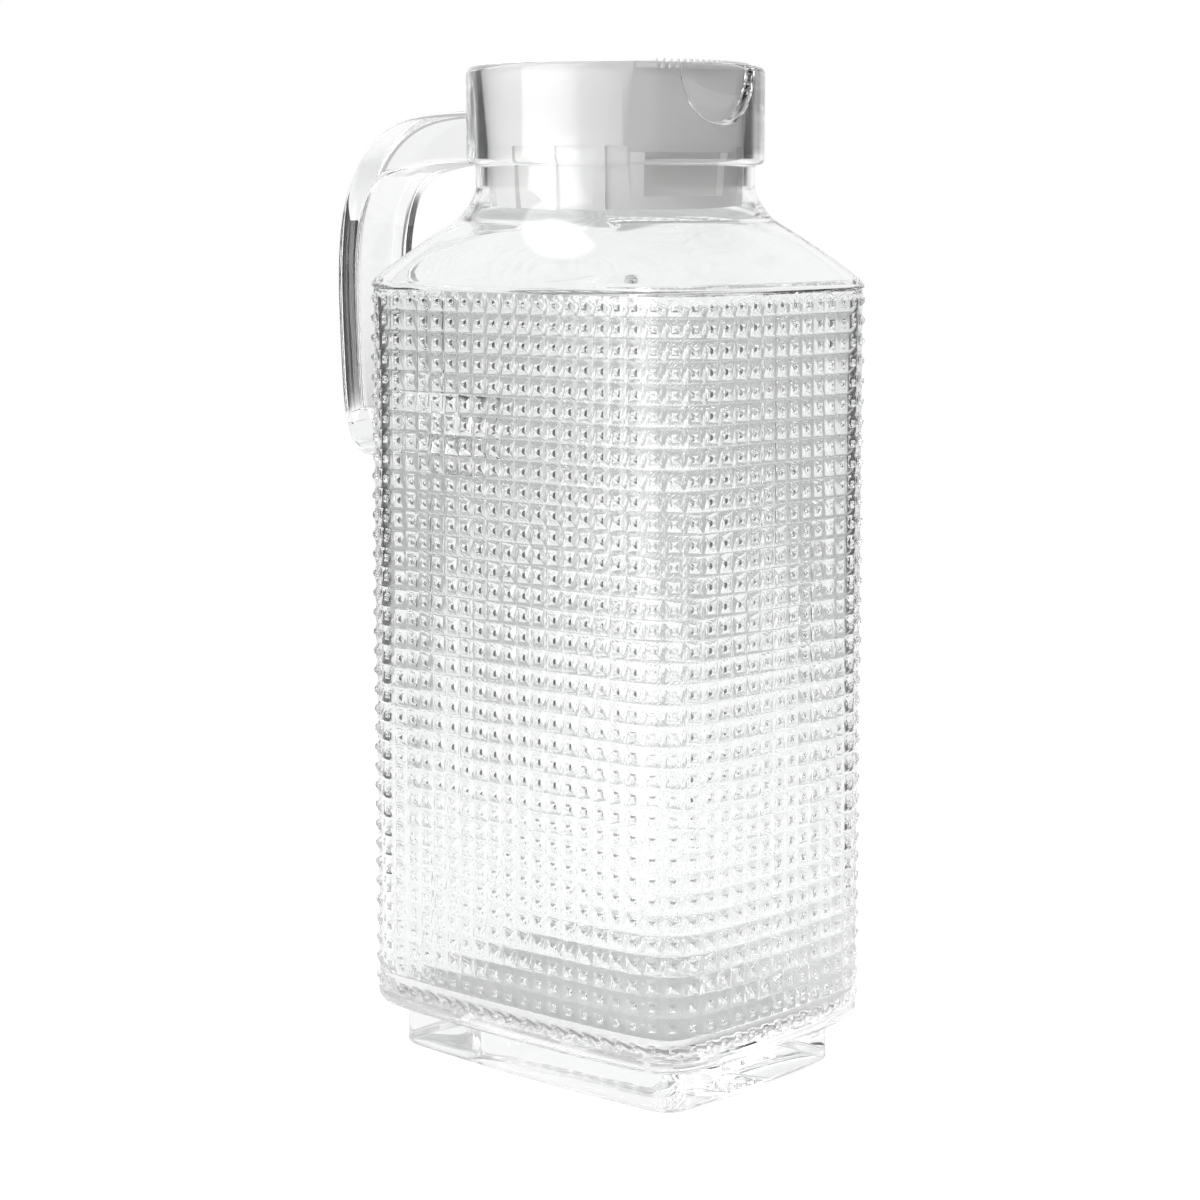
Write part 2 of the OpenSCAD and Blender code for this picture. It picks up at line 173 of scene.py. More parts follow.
# Outline of the body from above: broad arcs on the faces, tight arcs at the corners
def outlineArcs(size):
    halfLength = size["length"] / 2 - size["pointHeight"]
    halfWidth = size["width"] / 2 - size["pointHeight"]
    corner, faceBulge, endBulge = size["cornerRadius"], size["faceBulge"], size["endBulge"]
    cornerX = halfLength - corner - endBulge
    cornerY = halfWidth - corner - faceBulge
    endRadius = ((corner + endBulge) ** 2 + cornerY**2 - corner**2) / (2 * endBulge)
    faceRadius = ((corner + faceBulge) ** 2 + cornerX**2 - corner**2) / (2 * faceBulge)
    endAngle = math.atan2(cornerY, cornerX - halfLength + endRadius)
    faceAngle = math.atan2(cornerX, cornerY - halfWidth + faceRadius)
    lengths = [endRadius * endAngle, corner * (math.pi / 2 - endAngle - faceAngle), faceRadius * faceAngle]
    return {
        "halfLength": halfLength, "halfWidth": halfWidth, "corner": corner,
        "cornerX": cornerX, "cornerY": cornerY, "endRadius": endRadius, "faceRadius": faceRadius,
        "endAngle": endAngle, "lengths": lengths, "quarter": sum(lengths),
    }


arcs = outlineArcs(vessel)


# Point of the outline at a share of its length, moved outwards by grow
def outlinePoint(share, grow):
    turn = share * 4 % 4
    quarter = int(turn)
    along = turn - quarter
    if quarter % 2:
        along = 1 - along
    run = along * arcs["quarter"]
    endRun, cornerRun, faceRun = arcs["lengths"]
    if run <= endRun:
        angle = run / arcs["endRadius"]
        radius = arcs["endRadius"] + grow
        x = arcs["halfLength"] - arcs["endRadius"] + radius * math.cos(angle)
        y = radius * math.sin(angle)
    elif run <= endRun + cornerRun:
        angle = arcs["endAngle"] + (run - endRun) / arcs["corner"]
        radius = arcs["corner"] + grow
        x = arcs["cornerX"] + radius * math.cos(angle)
        y = arcs["cornerY"] + radius * math.sin(angle)
    else:
        angle = math.pi / 2 - (arcs["quarter"] - run) / arcs["faceRadius"]
        radius = arcs["faceRadius"] + grow
        x = radius * math.cos(angle)
        y = arcs["halfWidth"] - arcs["faceRadius"] + radius * math.sin(angle)
    return Vector((-x if quarter in (1, 2) else x, -y if quarter >= 2 else y))


# Vessel: one closed shell from the foot up the outside, over the rim and down the inside
def buildVessel(size):
    bm = bmesh.new()
    turnLayer = bm.verts.layers.float_vector.new("turn")
    wall = size["wall"]
    reliefZ = size["footHeight"] + size["bandHeight"]
    reliefTop = size["shoulderZ"] - size["pointHeight"]
    rows = round((reliefTop - reliefZ) / size["pointPitch"])
    columns = 2 * round(2 * arcs["quarter"] / size["pointPitch"])
    coveZ = size["shoulderZ"] + size["slopeHeight"]
    neckZ = coveZ + size["coveHeight"]
    collarZ = size["rimZ"] - size["collarHeight"]
    quarterTurn = math.pi / 2
    curveSteps, edgeSteps = size["curveSteps"], size["edgeSteps"]

    # Every vertex remembers its direction from the axis, and with it its share of the outline
    def ringPlace(z, grow, radius=1, roundShare=0):
        def place(vert):
            turn = vert[turnLayer]
            angle = math.atan2(turn.y, turn.x)
            circle = Vector((math.cos(angle), math.sin(angle))) * radius
            return Vector((*outlinePoint(angle / (2 * math.pi) % 1, grow).lerp(circle, roundShare), z))
        return place

    def carry(loop, z, grow, radius=1, roundShare=0):
        return carryRing(bm, loop, ringPlace(z, grow, radius, roundShare))

    def carryRound(loop, z, radius):
        return carry(loop, z, 0, radius, 1)

    # Rows of diamond points: a tube of square cells, each drawn out to a facetted point with a rounded cap
    spin = Matrix.Rotation(-quarterTurn, 4, "Z")
    start = bmesh.ops.create_circle(bm, segments=columns, radius=1, matrix=spin)["verts"]
    for vert in start:
        vert[turnLayer] = vert.co
    for vert in start:
        vert.co = ringPlace(reliefZ, 0)(vert)
    loop = list(bm.edges)
    rowHeight = (reliefTop - reliefZ) / rows
    for row in range(rows):
        loop = carry(loop, reliefZ + (row + 1) * rowHeight, 0)
    cells = list(bm.faces)
    corners = set(bm.verts)
    bmesh.ops.recalc_face_normals(bm, faces=cells)
    for inset, rise in [(size["facetInset"], size["facetRise"]), *size["capSteps"]]:
        bmesh.ops.inset_individual(bm, faces=cells, thickness=inset, depth=rise, use_even_offset=True)
    bmesh.ops.poke(bm, faces=cells, offset=size["capTop"], center_mode="MEAN")
    borders = [e for e in bm.edges if all(v in corners for v in e.verts)]
    valleys = [e for e in borders if len(e.link_faces) == 2]
    ends = [e for e in borders if len(e.link_faces) == 1]
    lowLoop = splitLoop(bm, [e for e in ends if e.verts[0].co.z < reliefZ + rowHeight])
    loop = splitLoop(bm, [e for e in ends if e.verts[0].co.z > reliefTop - rowHeight])

    # Shoulder, hollow curve and neck
    loop = carry(loop, size["shoulderZ"], size["pointHeight"])
    softLoops = [(loop, size["reliefBevel"])]

    # The points' height fades out over the lower half of the slope
    def slopeGrow(share):
        return size["pointHeight"] * max(0, 1 - 2 * share)

    for step in range(1, curveSteps + 1):
        share = step / curveSteps
        loop = carry(loop, size["shoulderZ"] + size["slopeHeight"] * share, slopeGrow(share),
                     size["slopeTopRadius"], share ** size["slopeFullness"])
    softLoops.append((loop, size["coveBevel"]))
    coveWidth = size["slopeTopRadius"] - size["neckRadius"]
    for step in range(1, curveSteps + 1):
        share = step / curveSteps
        loop = carryRound(loop, coveZ + size["coveHeight"] * share,
                          size["neckRadius"] + coveWidth * (1 - share) ** size["coveHollow"])

    # Collar with its lower edge, its upper edge and the lip, each rounded
    for step in range(edgeSteps + 1):
        turn = quarterTurn * step / edgeSteps
        loop = carryRound(loop, collarZ - size["collarFillet"] * (1 - math.sin(turn)),
                          size["neckRadius"] + size["collarFillet"] * (1 - math.cos(turn)))
    for step in range(edgeSteps + 1):
        turn = quarterTurn * step / edgeSteps
        loop = carryRound(loop, collarZ + size["collarRound"] * (1 - math.cos(turn)),
                          size["collarRadius"] - size["collarRound"] * (1 - math.sin(turn)))
    for step in range(edgeSteps + 1):
        turn = quarterTurn * step / edgeSteps
        loop = carryRound(loop, size["rimZ"] - size["collarRound"] * (1 - math.sin(turn)),
                          size["collarRadius"] - size["collarRound"] * (1 - math.cos(turn)))
    for step in range(edgeSteps + 1):
        turn = quarterTurn * step / edgeSteps
        loop = carryRound(loop, size["rimZ"] - size["lipRound"] * (1 - math.cos(turn)),
                          size["mouthRadius"] + size["lipRound"] * (1 - math.sin(turn)))

    # Tapered mouth, throat, and the inside down to the floor
    seatZ = size["rimZ"] - size["mouthDepth"]
    throat = size["throatRadius"]
    throatRings = [(neckZ + rise, throat + flare) for rise, flare in size["throatFlare"]]
    for z, radius in [(seatZ + size["mouthDepth"] / 2, (throat + size["mouthRadius"]) / 2), (seatZ, throat),
                      (collarZ, throat), *throatRings]:
        loop = carryRound(loop, z, radius)
    innerShoulder = size["shoulderZ"] - wall / 2
    for step in range(curveSteps + 1):
        share = 1 - step / curveSteps
        loop = carry(loop, innerShoulder + size["slopeHeight"] * share, slopeGrow(share) - wall,
                     size["slopeTopRadius"] - size["slopeTopWall"], share ** size["slopeFullness"])
    softLoops.append((loop, size["insideBevel"]))
    floorTop = size["floorZ"] + size["floorRadius"]
    for step in range(1, curveSteps + 1):
        loop = carry(loop, innerShoulder + (floorTop - innerShoulder) * step / curveSteps, -wall)
    for step in range(1, curveSteps + 1):
        turn = quarterTurn * step / curveSteps
        loop = carry(loop, floorTop - size["floorRadius"] * math.sin(turn),
                     -wall - size["floorRadius"] * (1 - math.cos(turn)))
    bmesh.ops.edgeloop_fill(bm, edges=loop)

    # Plain band, foot and underside
    loop = lowLoop
    for drop, grow in [*size["bandEdge"], (1.0, -size["bandInset"])]:
        loop = carry(loop, reliefZ - size["bandHeight"] * drop, grow)
    foot = size["pointHeight"] - size["footInset"]
    for drop, grow in size["footEdge"]:
        loop = carry(loop, size["footHeight"] - drop, foot + grow)
    for step in range(edgeSteps + 1):
        turn = quarterTurn * step / edgeSteps
        loop = carry(loop, size["footRound"] * (1 - math.sin(turn)),
                     foot - size["footRound"] * (1 - math.cos(turn)))
    bmesh.ops.edgeloop_fill(bm, edges=loop)

    bmesh.ops.remove_doubles(bm, verts=bm.verts, dist=weldGap)
    for edges, offset in softLoops:
        bmesh.ops.bevel(bm, geom=edges, offset=offset, offset_type="OFFSET", segments=size["bevelSegments"],
                        profile=0.5, affect="EDGES", material=-1, clamp_overlap=True)
    bmesh.ops.bevel(bm, geom=valleys, offset=size["valleyRounding"], offset_type="OFFSET", segments=1,
                    profile=0.5, affect="EDGES", material=-1, clamp_overlap=True)
    return toObject(bm, "jugGlass")


channel = {
    "width": 27.4,
    "depth": 2.2,
    "height": 16.0,
    "reach": 5.0,
    "segments": 96,
}


# Pour channel: a spoon shape that is cut out of the collar's inside, from the rim down
def buildScoop(size):
    mouth = vessel["mouthRadius"]
    centreX = mouth + size["depth"] - size["reach"]
    rimX = math.sqrt(mouth**2 - (size["width"] / 2) ** 2)
    halfWidth = size["width"] / 2 / math.sqrt(1 - ((rimX - centreX) / size["reach"]) ** 2)
    flare = (mouth - vessel["throatRadius"]) / vessel["mouthDepth"]
    endX = mouth - flare * size["height"]
    drop = size["height"] / math.sqrt(1 - ((endX - centreX) / size["reach"]) ** 2)
    bm = bmesh.new()
    bmesh.ops.create_uvsphere(bm, u_segments=size["segments"], v_segments=size["segments"] // 2, radius=1)
    bmesh.ops.scale(bm, vec=(size["reach"], halfWidth, drop), verts=bm.verts)
    bmesh.ops.translate(bm, vec=(centreX, 0, vessel["rimZ"]), verts=bm.verts)
    return toObject(bm, "channelScoop")


handle = {
    "reach": -handleLow.x / mm,
    "width": 22.0,
    "thickness": 9.2,
    "rounding": 1.6,
    "lean": 2.4,
    "armHeight": 14.0,
    "armLift": 1.2,
    "bendHeight": 41.8,
    "lowArmZ": 167.0,
    "lowArmHeight": 15.0,
    "elbowHeight": 6.5,
    "collarDepth": 3.2,
    "wallDepth": 2.8,
    "pullShare": 0.67,
    "ringCount": 90,
    "cornerSteps": 6,
}


# Handle: a rounded section swept along three curves, from inside the collar's wall to inside the back wall
def buildHandle(size):
    collarZ = vessel["rimZ"] - vessel["collarHeight"]
    armZ = collarZ + size["armLift"] + size["armHeight"] / 2
    strapX = -size["reach"] + size["thickness"] / 2
    strapZ = armZ - size["bendHeight"]
    elbowX = strapX + size["lean"]
    elbowZ = size["lowArmZ"] + size["elbowHeight"]
    armX = -vessel["collarRadius"] + size["collarDepth"]
    backX = -vessel["length"] / 2 + size["wallDepth"]
    curves = [
        [(armX, armZ), (armX + (strapX - armX) * size["pullShare"], armZ), (strapX, armZ), (strapX, strapZ)],
        [(strapX, strapZ), (strapX, strapZ - size["elbowHeight"]),
         (elbowX - size["lean"] / 2, elbowZ + size["elbowHeight"] / 2), (elbowX, elbowZ)],
        [(elbowX, elbowZ), (elbowX + size["lean"], size["lowArmZ"] + size["elbowHeight"] / 4),
         (elbowX + size["elbowHeight"], size["lowArmZ"]), (backX, size["lowArmZ"])],
    ]

    # Places along the three curves, each with the section's thickness there
    arm, strap, lowArm = size["armHeight"], size["thickness"], size["lowArmHeight"]
    stops = [(0, arm), (0.3, arm), (0.75, strap), (2, strap), (2.4, lowArm), (3, lowArm)]

    def along(place):
        k = min(int(place), 2)
        t = place - k
        u = 1 - t
        p = [Vector(point) for point in curves[k]]
        point = u**3 * p[0] + 3 * u * u * t * p[1] + 3 * u * t * t * p[2] + t**3 * p[3]
        slope = u * u * (p[1] - p[0]) + 2 * u * t * (p[2] - p[1]) + t * t * (p[3] - p[2])
        return point, slope.normalized()

    def thickness(place):
        for (low, a), (high, b) in zip(stops, stops[1:]):
            if place <= high:
                share = (place - low) / (high - low)
                return a + (b - a) * share * share * (3 - 2 * share)
        return stops[-1][1]

    def section(thick):
        rounding = size["rounding"]
        reach, half = size["width"] / 2 - rounding, thick / 2 - rounding
        points = []
        for corner in range(4):
            sx = 1 if corner in (0, 3) else -1
            sy = 1 if corner < 2 else -1
            for step in range(size["cornerSteps"] + 1):
                turn = math.pi / 2 * (corner + step / size["cornerSteps"])
                points.append((sx * reach + rounding * math.cos(turn), sy * half + rounding * math.sin(turn)))
        return points

    bm = bmesh.new()
    order = bm.verts.layers.int.new("order")
    sectionPoints = 4 * (size["cornerSteps"] + 1)
    start = bmesh.ops.create_circle(bm, cap_ends=True, segments=sectionPoints, radius=1)["verts"]
    for index, vert in enumerate(start):
        vert[order] = index

    def ringPlace(place):
        point, slope = along(place)
        outline = section(thickness(place))

        def put(vert):
            across, out = outline[vert[order]]
            return Vector((point.x - slope.y * out, across, point.y + slope.x * out))
        return put

    for vert in start:
        vert.co = ringPlace(0)(vert)
    loop = list(bm.edges)
    for ring in range(1, size["ringCount"] + 1):
        loop = carryRing(bm, loop, ringPlace(3 * ring / size["ringCount"]))
    bmesh.ops.edgeloop_fill(bm, edges=loop)
    return toObject(bm, "handleSweep")


jugGlass = buildVessel(vessel)
print("vessel modelled,", len(jugGlass.data.polygons), "faces")
combine(jugGlass, buildScoop(channel), "DIFFERENCE")
combine(jugGlass, buildHandle(handle), "UNION")
print("channel cut and handle fused on,", len(jugGlass.data.polygons), "faces")
softShading(jugGlass, vessel["sharpAngle"])
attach(jugGlass, "jug")
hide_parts("glass_body", "glass_handle")

lid = {
    "turn": -14.4,
    "gap": 0.3,
    "top": lidHigh.z / mm,
    "edgeHeight": 2.6,
    "wall": 1.8,
    "skirtStep": 0.6,
    "skirtDraft": 0.8,
    "skirtHeight": 17.6,
    "wellInset": 5.2,
    "wellDepth": 15.0,
    "gripWidth": 7.0,
    "panelCutTop": 3.75,
    "panelCutFoot": 4.75,
    "windowAngle": 42.8,
    "windowHeight": 11.8,
    "bridgeHeight": 1.6,
    "slotCount": 5,
    "slotStep": 14.0,
    "slotAngle": 10.0,
    "ribCount": 5,
    "ribStart": 40.7,
    "ribStep": 21.6,
    "ribWidth": 3.1,
    "ribLift": 0.02,
    "grooveCount": 11,
    "grooveStep": 3.2,
    "grooveDepth": 0.5,
    "grooveRadius": 0.65,
    "grooveSegments": 20,
    "archSteps": 12,
    "edgeRounding": 0.22,
    "edgeAngle": 32,
    "sharpAngle": 35,
    "flatAngle": 0.3,
    "segments": 160,
    "over": 2.0,
}


# Solid of revolution from an open profile that starts and ends on the jug's axis
def spinShape(profile, name, segments):
    bm = bmesh.new()
    verts = [bm.verts.new((x, 0, z)) for x, z in profile]
    edges = [bm.edges.new(pair) for pair in zip(verts, verts[1:])]
    bmesh.ops.spin(bm, geom=verts + edges, cent=(0, 0, 0), axis=(0, 0, 1), dvec=(0, 0, 0), angle=2 * math.pi,
                   steps=segments, use_merge=True)
    bmesh.ops.remove_doubles(bm, verts=bm.verts, dist=weldGap)
    return toObject(bm, name)


# Solid across the lid over an outline in its upright middle plane
def crossShape(profile, reach, name):
    bm = bmesh.new()
    face = bm.faces.new([bm.verts.new((x, -reach, z)) for x, z in profile])
    grown = bmesh.ops.extrude_face_region(bm, geom=[face])["geom"]
    bmesh.ops.translate(bm, vec=(0, 2 * reach, 0), verts=freshOf(grown, bmesh.types.BMVert))
    return toObject(bm, name)


def buildLid(size):
    segments, over, top, wall = size["segments"], size["over"], size["top"], size["wall"]
    seatZ = vessel["rimZ"] - vessel["mouthDepth"]
    flare = (vessel["mouthRadius"] - vessel["throatRadius"]) / vessel["mouthDepth"]
    edgeZ = top - size["edgeHeight"]
    skirtZ = seatZ - size["skirtHeight"]
    plugFoot = vessel["throatRadius"] - size["gap"]
    edgeR = plugFoot + flare * (edgeZ - seatZ)
    skirtR = plugFoot - size["skirtStep"]
    footR = skirtR - size["skirtDraft"]
    windowTop = seatZ - size["bridgeHeight"]
    windowFoot = windowTop - size["windowHeight"]
    wellZ = top - size["wellDepth"]
    wellR = plugFoot - size["wellInset"]
    panelTop, panelFoot = edgeR - size["panelCutTop"], plugFoot - size["panelCutFoot"]
    soft = wall / 3
    reach = edgeR + over

    def panelX(z):
        return panelFoot + (panelTop - panelFoot) * (z - windowTop) / (edgeZ - windowTop)

    def panelCut(inset, cutTop, name):
        return crossShape([(panelFoot - inset, windowTop), (reach, windowTop), (reach, cutTop),
                           (panelX(cutTop) - inset, cutTop)], reach, name)

    def wedge(angle, low, high, turn, name):
        half = math.tan(math.radians(angle / 2)) * reach
        return prism([(0, 0), (reach, -half), (reach, half)], low, high, name, turn)

    # Outer form of plug and skirt, with upright ribs round the skirt
    shell = spinShape([
        (0, skirtZ), (footR, skirtZ), (skirtR, seatZ), (plugFoot, seatZ), (edgeR, edgeZ), (edgeR, top - soft),
        (edgeR - soft * 0.3, top - soft * 0.3), (edgeR - soft, top), (0, top)], "lidMoulding", segments)
    ribOuter = math.sqrt(plugFoot**2 - (size["ribWidth"] / 2) ** 2)
    for side in (-1, 1):
        for k in range(size["ribCount"]):
            root, half = footR - wall / 2, size["ribWidth"] / 2
            outline = [(root, -half), (ribOuter, -half), (ribOuter, half), (root, half)]
            turn = side * (size["ribStart"] + k * size["ribStep"])
            combine(shell, prism(outline, skirtZ + size["ribLift"], seatZ + wall, "rib", turn), "UNION")

    # Hollow under the closed top, which keeps a wall behind the flat pour panel
    hollow = spinShape([
        (0, skirtZ - over), (footR - wall, skirtZ - over), (footR - wall, skirtZ), (skirtR - wall, seatZ),
        (plugFoot - wall, seatZ + size["skirtStep"]), (edgeR - wall, edgeZ), (edgeR - wall, top - wall),
        (wellR + wall, top - wall), (wellR + wall, wellZ - wall), (0, wellZ - wall)], "lidHollow", segments)
    combine(hollow, panelCut(wall, top, "panelBack"), "DIFFERENCE")
    combine(shell, hollow, "DIFFERENCE")

    # Finger well with its grip bar, which is hollow from below
    well = spinShape([(0, wellZ), (wellR, wellZ), (wellR, top + over), (0, top + over)], "fingerWell", segments)
    grip = size["gripWidth"] / 2
    archSteps = size["archSteps"]
    arch = [(-grip, wellZ - over), (grip, wellZ - over)]
    arch += [(grip * math.cos(math.pi * k / archSteps), top - grip + grip * math.sin(math.pi * k / archSteps))
             for k in range(archSteps + 1)]
    bar = crossShape(arch, wellR + wall, "gripBar")
    bar.data.transform(Matrix.Rotation(math.pi / 2, 4, "Z"))
    combine(well, bar, "DIFFERENCE")
    combine(shell, well, "DIFFERENCE")
    slit, slitEnd = grip - wall, wellR - wall
    combine(shell, prism([(-slitEnd, -slit), (slitEnd, -slit), (slitEnd, slit), (-slitEnd, slit)],
                         wellZ - wall - over, top - wall - grip, "gripSlit"), "DIFFERENCE")

    # Flat pour panel, the window below it, and the strainer slots opposite
    combine(shell, panelCut(0, edgeZ, "panelFront"), "DIFFERENCE")
    window = wedge(size["windowAngle"], windowFoot - over, windowTop + 2 * over, 0, "pourWindow")
    above = windowTop + over
    combine(window, crossShape([(0, windowFoot), (reach, windowFoot), (reach, above), (panelX(above), above),
                                (panelFoot, windowTop), (0, windowTop)], reach, "windowSpace"), "INTERSECT")
    combine(shell, window, "DIFFERENCE")
    for k in range(size["slotCount"]):
        turn = 180 + (k - (size["slotCount"] - 1) / 2) * size["slotStep"]
        combine(shell, wedge(size["slotAngle"], windowFoot, windowTop, turn, "slot"), "DIFFERENCE")

    # Small grooves in the rim above the panel
    for k in range(size["grooveCount"]):
        bm = bmesh.new()
        bmesh.ops.create_cone(bm, cap_ends=True, segments=size["grooveSegments"], radius1=size["grooveRadius"],
                              radius2=size["grooveRadius"], depth=size["edgeHeight"] + 2 * over)
        bmesh.ops.translate(bm, vec=(edgeR + size["grooveRadius"] - size["grooveDepth"], 0, (edgeZ + top) / 2),
                            verts=bm.verts)
        turn = math.radians((k - (size["grooveCount"] - 1) / 2) * size["grooveStep"])
        bmesh.ops.rotate(bm, cent=(0, 0, 0), matrix=Matrix.Rotation(turn, 3, "Z"), verts=bm.verts)
        combine(shell, toObject(bm, "groove"), "DIFFERENCE")
    return shell


# Cleans the cut mesh and turns it to the lid's place in the collar
def turnLid(piece, size):
    bm = bmesh.new()
    bm.from_mesh(piece.data)
    bmesh.ops.remove_doubles(bm, verts=bm.verts, dist=2 * weldGap * mm)
    bmesh.ops.dissolve_limit(bm, angle_limit=math.radians(size["flatAngle"]), verts=bm.verts, edges=bm.edges)
    turn = Matrix.Rotation(math.radians(size["turn"]), 3, "Z")
    bmesh.ops.rotate(bm, cent=(0, 0, 0), matrix=turn, verts=bm.verts)
    bm.to_mesh(piece.data)
    bm.free()


lidMoulding = buildLid(lid)
turnLid(lidMoulding, lid)
softEdges = lidMoulding.modifiers.new("soft edges", "BEVEL")
softEdges.width = lid["edgeRounding"] * mm
softEdges.segments = 2
softEdges.limit_method = "ANGLE"
softEdges.angle_limit = math.radians(lid["edgeAngle"])
softShading(lidMoulding, lid["sharpAngle"])
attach(lidMoulding, "lid")
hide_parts("lid")
print("lid modelled,", len(lidMoulding.data.polygons), "faces")


# Materials
def newMaterial(name):
    material = bpy.data.materials.new(name)
    material.use_nodes = True
    tree = material.node_tree
    return material, tree.nodes, tree.links, tree.nodes["Principled BSDF"]


surfaceWaves = {
    "detail": 1.5,
    "spread": (0.3, 0.7),
}


# Node group: slow waves of a moulded surface, read from Object coordinates
def mouldedSurface():
    group = bpy.data.node_groups.new("mouldedSurface", "ShaderNodeTree")
    for name in ("Wave Scale", "Low", "High"):
        group.interface.new_socket(name, in_out="INPUT", socket_type="NodeSocketFloat")
    for name in ("Roughness", "Height"):
        group.interface.new_socket(name, in_out="OUTPUT", socket_type="NodeSocketFloat")
    nodes, links = group.nodes, group.links
    start = nodes.new("NodeGroupInput")
    end = nodes.new("NodeGroupOutput")
    place = nodes.new("ShaderNodeTexCoord")
    waves = nodes.new("ShaderNodeTexNoise")
    waves.inputs["Detail"].default_value = surfaceWaves["detail"]
    links.new(place.outputs["Object"], waves.inputs["Vector"])
    links.new(start.outputs["Wave Scale"], waves.inputs["Scale"])
    links.new(waves.outputs["Fac"], end.inputs["Height"])
    spread = nodes.new("ShaderNodeMapRange")
    spread.inputs["From Min"].default_value, spread.inputs["From Max"].default_value = surfaceWaves["spread"]
    links.new(waves.outputs["Fac"], spread.inputs["Value"])
    links.new(start.outputs["Low"], spread.inputs["To Min"])
    links.new(start.outputs["High"], spread.inputs["To Max"])
    links.new(spread.outputs["Result"], end.inputs["Roughness"])
    return group


surfaceGroup = mouldedSurface()


# Places the group, and joins its roughness, a blend of two colours and a faint relief to the shader
def dressSurface(nodes, links, shader, look):
    surface = nodes.new("ShaderNodeGroup")
    surface.node_tree = surfaceGroup
    surface.inputs["Wave Scale"].default_value = look["waveScale"]
    surface.inputs["Low"].default_value, surface.inputs["High"].default_value = look["roughness"]
    links.new(surface.outputs["Roughness"], shader.inputs["Roughness"])
    tone = nodes.new("ShaderNodeMix")
    tone.data_type = "RGBA"
    tone.inputs["A"].default_value, tone.inputs["B"].default_value = look["colours"]
    links.new(surface.outputs["Height"], tone.inputs["Factor"])
    links.new(tone.outputs["Result"], shader.inputs["Base Color"])
    bump = nodes.new("ShaderNodeBump")
    bump.inputs["Strength"].default_value = look["bumpStrength"]
    bump.inputs["Distance"].default_value = look["bumpDepth"]
    links.new(surface.outputs["Height"], bump.inputs["Height"])
    links.new(bump.outputs["Normal"], shader.inputs["Normal"])


glassLook = {
    "colours": [(0.968, 0.974, 0.974, 1), (0.975, 0.98, 0.98, 1)],
    "roughness": (0.0, 0.012),
    "waveScale": 38,
    "bumpStrength": 0.12,
    "bumpDepth": 0.0006,
    "ior": 1.5,
}

plasticLook = {
    "colours": [(0.92, 0.92, 0.91, 1), (0.94, 0.94, 0.93, 1)],
    "roughness": (0.3, 0.42),
    "waveScale": 900,
    "bumpStrength": 0.15,
    "bumpDepth": 0.00005,
}


def clearGlass():
    material, nodes, links, shader = newMaterial("clearGlass")
    shader.inputs["Transmission Weight"].default_value = 1
    shader.inputs["IOR"].default_value = glassLook["ior"]
    dressSurface(nodes, links, shader, glassLook)
    return material


def whitePlastic():
    material, nodes, links, shader = newMaterial("whitePlastic")
    dressSurface(nodes, links, shader, plasticLook)
    return material


jugGlass.data.materials.clear()
jugGlass.data.materials.append(clearGlass())
lidMoulding.data.materials.clear()
lidMoulding.data.materials.append(whitePlastic())
print("materials made")

# Studio, in the directions of the photo's camera: pale floor, white behind, dark low sides, soft light at the left
# A level is a strength, and an edge is the span of a direction's share over which the level changes
studio = {
    "forward": Vector((-0.6626, 0.749, 0)),
    "right": Vector((0.749, 0.6626, 0)),
    "floorRadius": 650,
    "floorSink": 0.05,
    "floorRoughness": 0.7,
    "floorColour": (0.82, 0.82, 0.82, 1),
    "floorGlow": 0.6,
    "floorGlowInGlass": 0.06,
    "backLevel": 0.97,
    "frontLevel": 0.95,
    "ceilingLevel": 0.75,
    "ceilingEdge": (0.5, 0.8),
    "sideLevel": 0.08,
    "frontEdge": (-0.3, 0.3),
    "sideEdge": (0.44, 0.62),
    "sideHeight": (0.02, 0.2),
    "lowLevel": 0.55,
    "lowEdge": (-0.1, -0.03),
    "keyLevel": 4.3,
    "keySides": [
        {"azimuth": -104, "inwards": -90, "edge": (-0.03, 0.05)},
        {"azimuth": -154, "inwards": 90, "edge": (-0.04, 0.22)},
    ],
    "keyFoot": (-0.2, -0.1),
    "keyTop": (0.84, 0.9),
}

view = {
    "location": Vector((514.7, -577.0, 235.6)) * mm,
    "pitch": 6.61,
    "yaw": 42.04,
    "lens": 85.73,
    "sensor": 36,
    "nearest": 0.01,
    "shiftY": -0.06,
}


def makeCamera():
    data = bpy.data.cameras.new("camera")
    data.lens = view["lens"]
    data.sensor_width = view["sensor"]
    data.shift_y = view["shiftY"]
    data.clip_start = view["nearest"]
    camera = bpy.data.objects.new("camera", data)
    camera.location = view["location"]
    camera.rotation_euler = (math.radians(90 - view["pitch"]), 0, math.radians(view["yaw"]))
    bpy.context.scene.collection.objects.link(camera)
    bpy.context.scene.camera = camera


def calculate(nodes, links, operation, a, b):
    node = nodes.new("ShaderNodeMath")
    node.operation = operation
    for socket, value in zip(node.inputs, (a, b)):
        if isinstance(value, (int, float)):
            socket.default_value = value
        else:
            links.new(value, socket)
    return node.outputs[0]


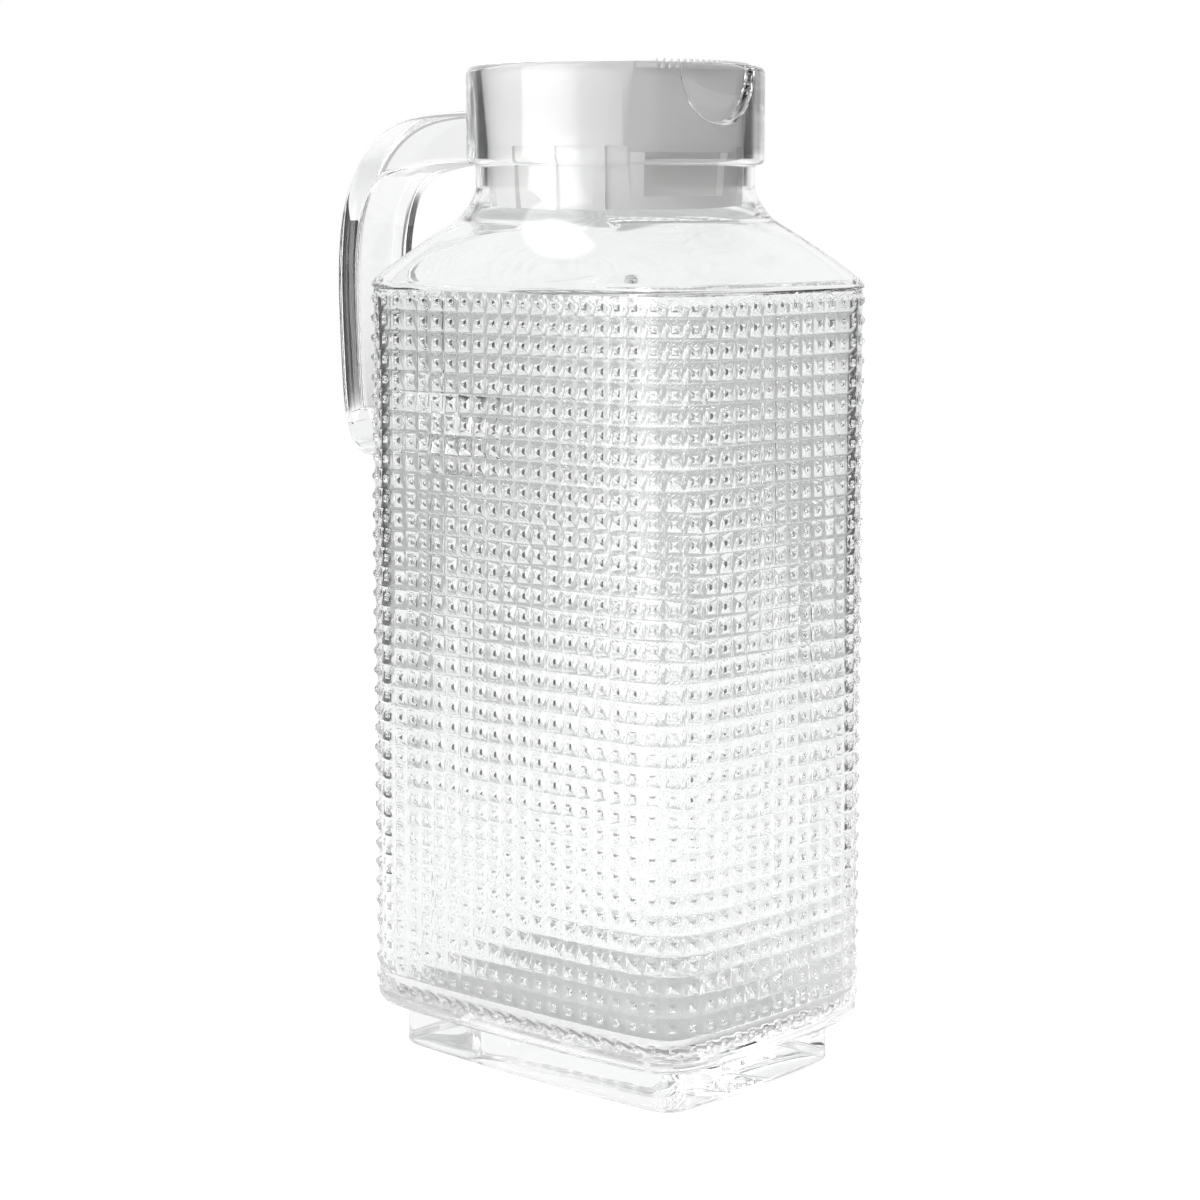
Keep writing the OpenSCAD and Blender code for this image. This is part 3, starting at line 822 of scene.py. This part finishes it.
def makeFloor():
    bm = bmesh.new()
    bmesh.ops.create_circle(bm, cap_ends=True, segments=96, radius=studio["floorRadius"])
    bmesh.ops.translate(bm, vec=(0, 0, -studio["floorSink"]), verts=bm.verts)
    floor = toObject(bm, "floor")
    material, nodes, links, shader = newMaterial("paleFloor")
    shader.inputs["Base Color"].default_value = studio["floorColour"]
    shader.inputs["Roughness"].default_value = studio["floorRoughness"]
    shader.inputs["Specular IOR Level"].default_value = 0.1
    rays = nodes.new("ShaderNodeLightPath")
    glossy, transmitted = rays.outputs["Is Glossy Ray"], rays.outputs["Is Transmission Ray"]
    mirrored = calculate(nodes, links, "MAXIMUM", glossy, transmitted)
    glow = calculate(nodes, links, "MULTIPLY", rays.outputs["Is Camera Ray"], studio["floorGlow"])
    glassGlow = calculate(nodes, links, "MULTIPLY", mirrored, studio["floorGlowInGlass"])
    shader.inputs["Emission Color"].default_value = (1, 1, 1, 1)
    links.new(calculate(nodes, links, "ADD", glow, glassGlow), shader.inputs["Emission Strength"])
    floor.data.materials.append(material)


def makeWorld():
    world = bpy.data.worlds.new("studio")
    bpy.context.scene.world = world
    world.use_nodes = True
    nodes, links = world.node_tree.nodes, world.node_tree.links
    nodes.clear()
    place = nodes.new("ShaderNodeTexCoord")

    def along(vector):
        dot = nodes.new("ShaderNodeVectorMath")
        dot.operation = "DOT_PRODUCT"
        dot.inputs[1].default_value = vector
        links.new(place.outputs["Generated"], dot.inputs[0])
        return dot.outputs["Value"]

    def ramp(source, edge, start, end):
        spread = nodes.new("ShaderNodeMapRange")
        spread.interpolation_type = "SMOOTHSTEP"
        for name, value in [("From Min", edge[0]), ("From Max", edge[1]), ("To Min", start), ("To Max", end)]:
            spread.inputs[name].default_value = value
        links.new(source, spread.inputs["Value"])
        return spread.outputs["Result"]

    def blend(share, a, b):
        keep = calculate(nodes, links, "MULTIPLY", a, calculate(nodes, links, "SUBTRACT", 1, share))
        return calculate(nodes, links, "ADD", keep, calculate(nodes, links, "MULTIPLY", b, share))

    height = along(Vector((0, 0, 1)))
    level = ramp(along(studio["forward"]), studio["frontEdge"], studio["frontLevel"], studio["backLevel"])
    level = blend(ramp(height, studio["lowEdge"], 1, 0), level, studio["lowLevel"])
    level = blend(ramp(height, studio["ceilingEdge"], 0, 1), level, studio["ceilingLevel"])
    sides = ramp(calculate(nodes, links, "ABSOLUTE", along(studio["right"]), 0), studio["sideEdge"], 0, 1)
    lowSides = calculate(nodes, links, "MULTIPLY", sides, ramp(height, studio["sideHeight"], 1, 0))
    level = blend(lowSides, level, studio["sideLevel"])
    key = studio["keyLevel"]
    for side in studio["keySides"]:
        way = math.radians(side["azimuth"] + side["inwards"])
        border = math.cos(way) * studio["forward"] + math.sin(way) * studio["right"]
        key = calculate(nodes, links, "MULTIPLY", ramp(along(border), side["edge"], 0, 1), key)
    key = calculate(nodes, links, "MULTIPLY", ramp(height, studio["keyFoot"], 0, 1), key)
    key = calculate(nodes, links, "MULTIPLY", ramp(height, studio["keyTop"], 1, 0), key)
    level = calculate(nodes, links, "ADD", level, key)
    surroundings = nodes.new("ShaderNodeBackground")
    surroundings.inputs["Color"].default_value = (1, 1, 1, 1)
    links.new(level, surroundings.inputs["Strength"])
    backdrop = nodes.new("ShaderNodeBackground")
    backdrop.inputs["Color"].default_value = (1, 1, 1, 1)
    rays = nodes.new("ShaderNodeLightPath")
    mix = nodes.new("ShaderNodeMixShader")
    links.new(rays.outputs["Is Camera Ray"], mix.inputs["Fac"])
    links.new(surroundings.outputs[0], mix.inputs[1])
    links.new(backdrop.outputs[0], mix.inputs[2])
    output = nodes.new("ShaderNodeOutputWorld")
    links.new(mix.outputs[0], output.inputs["Surface"])


makeCamera()
makeFloor()
makeWorld()
scene = bpy.context.scene
scene.view_settings.view_transform = "Standard"
scene.cycles.max_bounces = 32
scene.cycles.transmission_bounces = 32
scene.cycles.glossy_bounces = 16
print("studio set up")
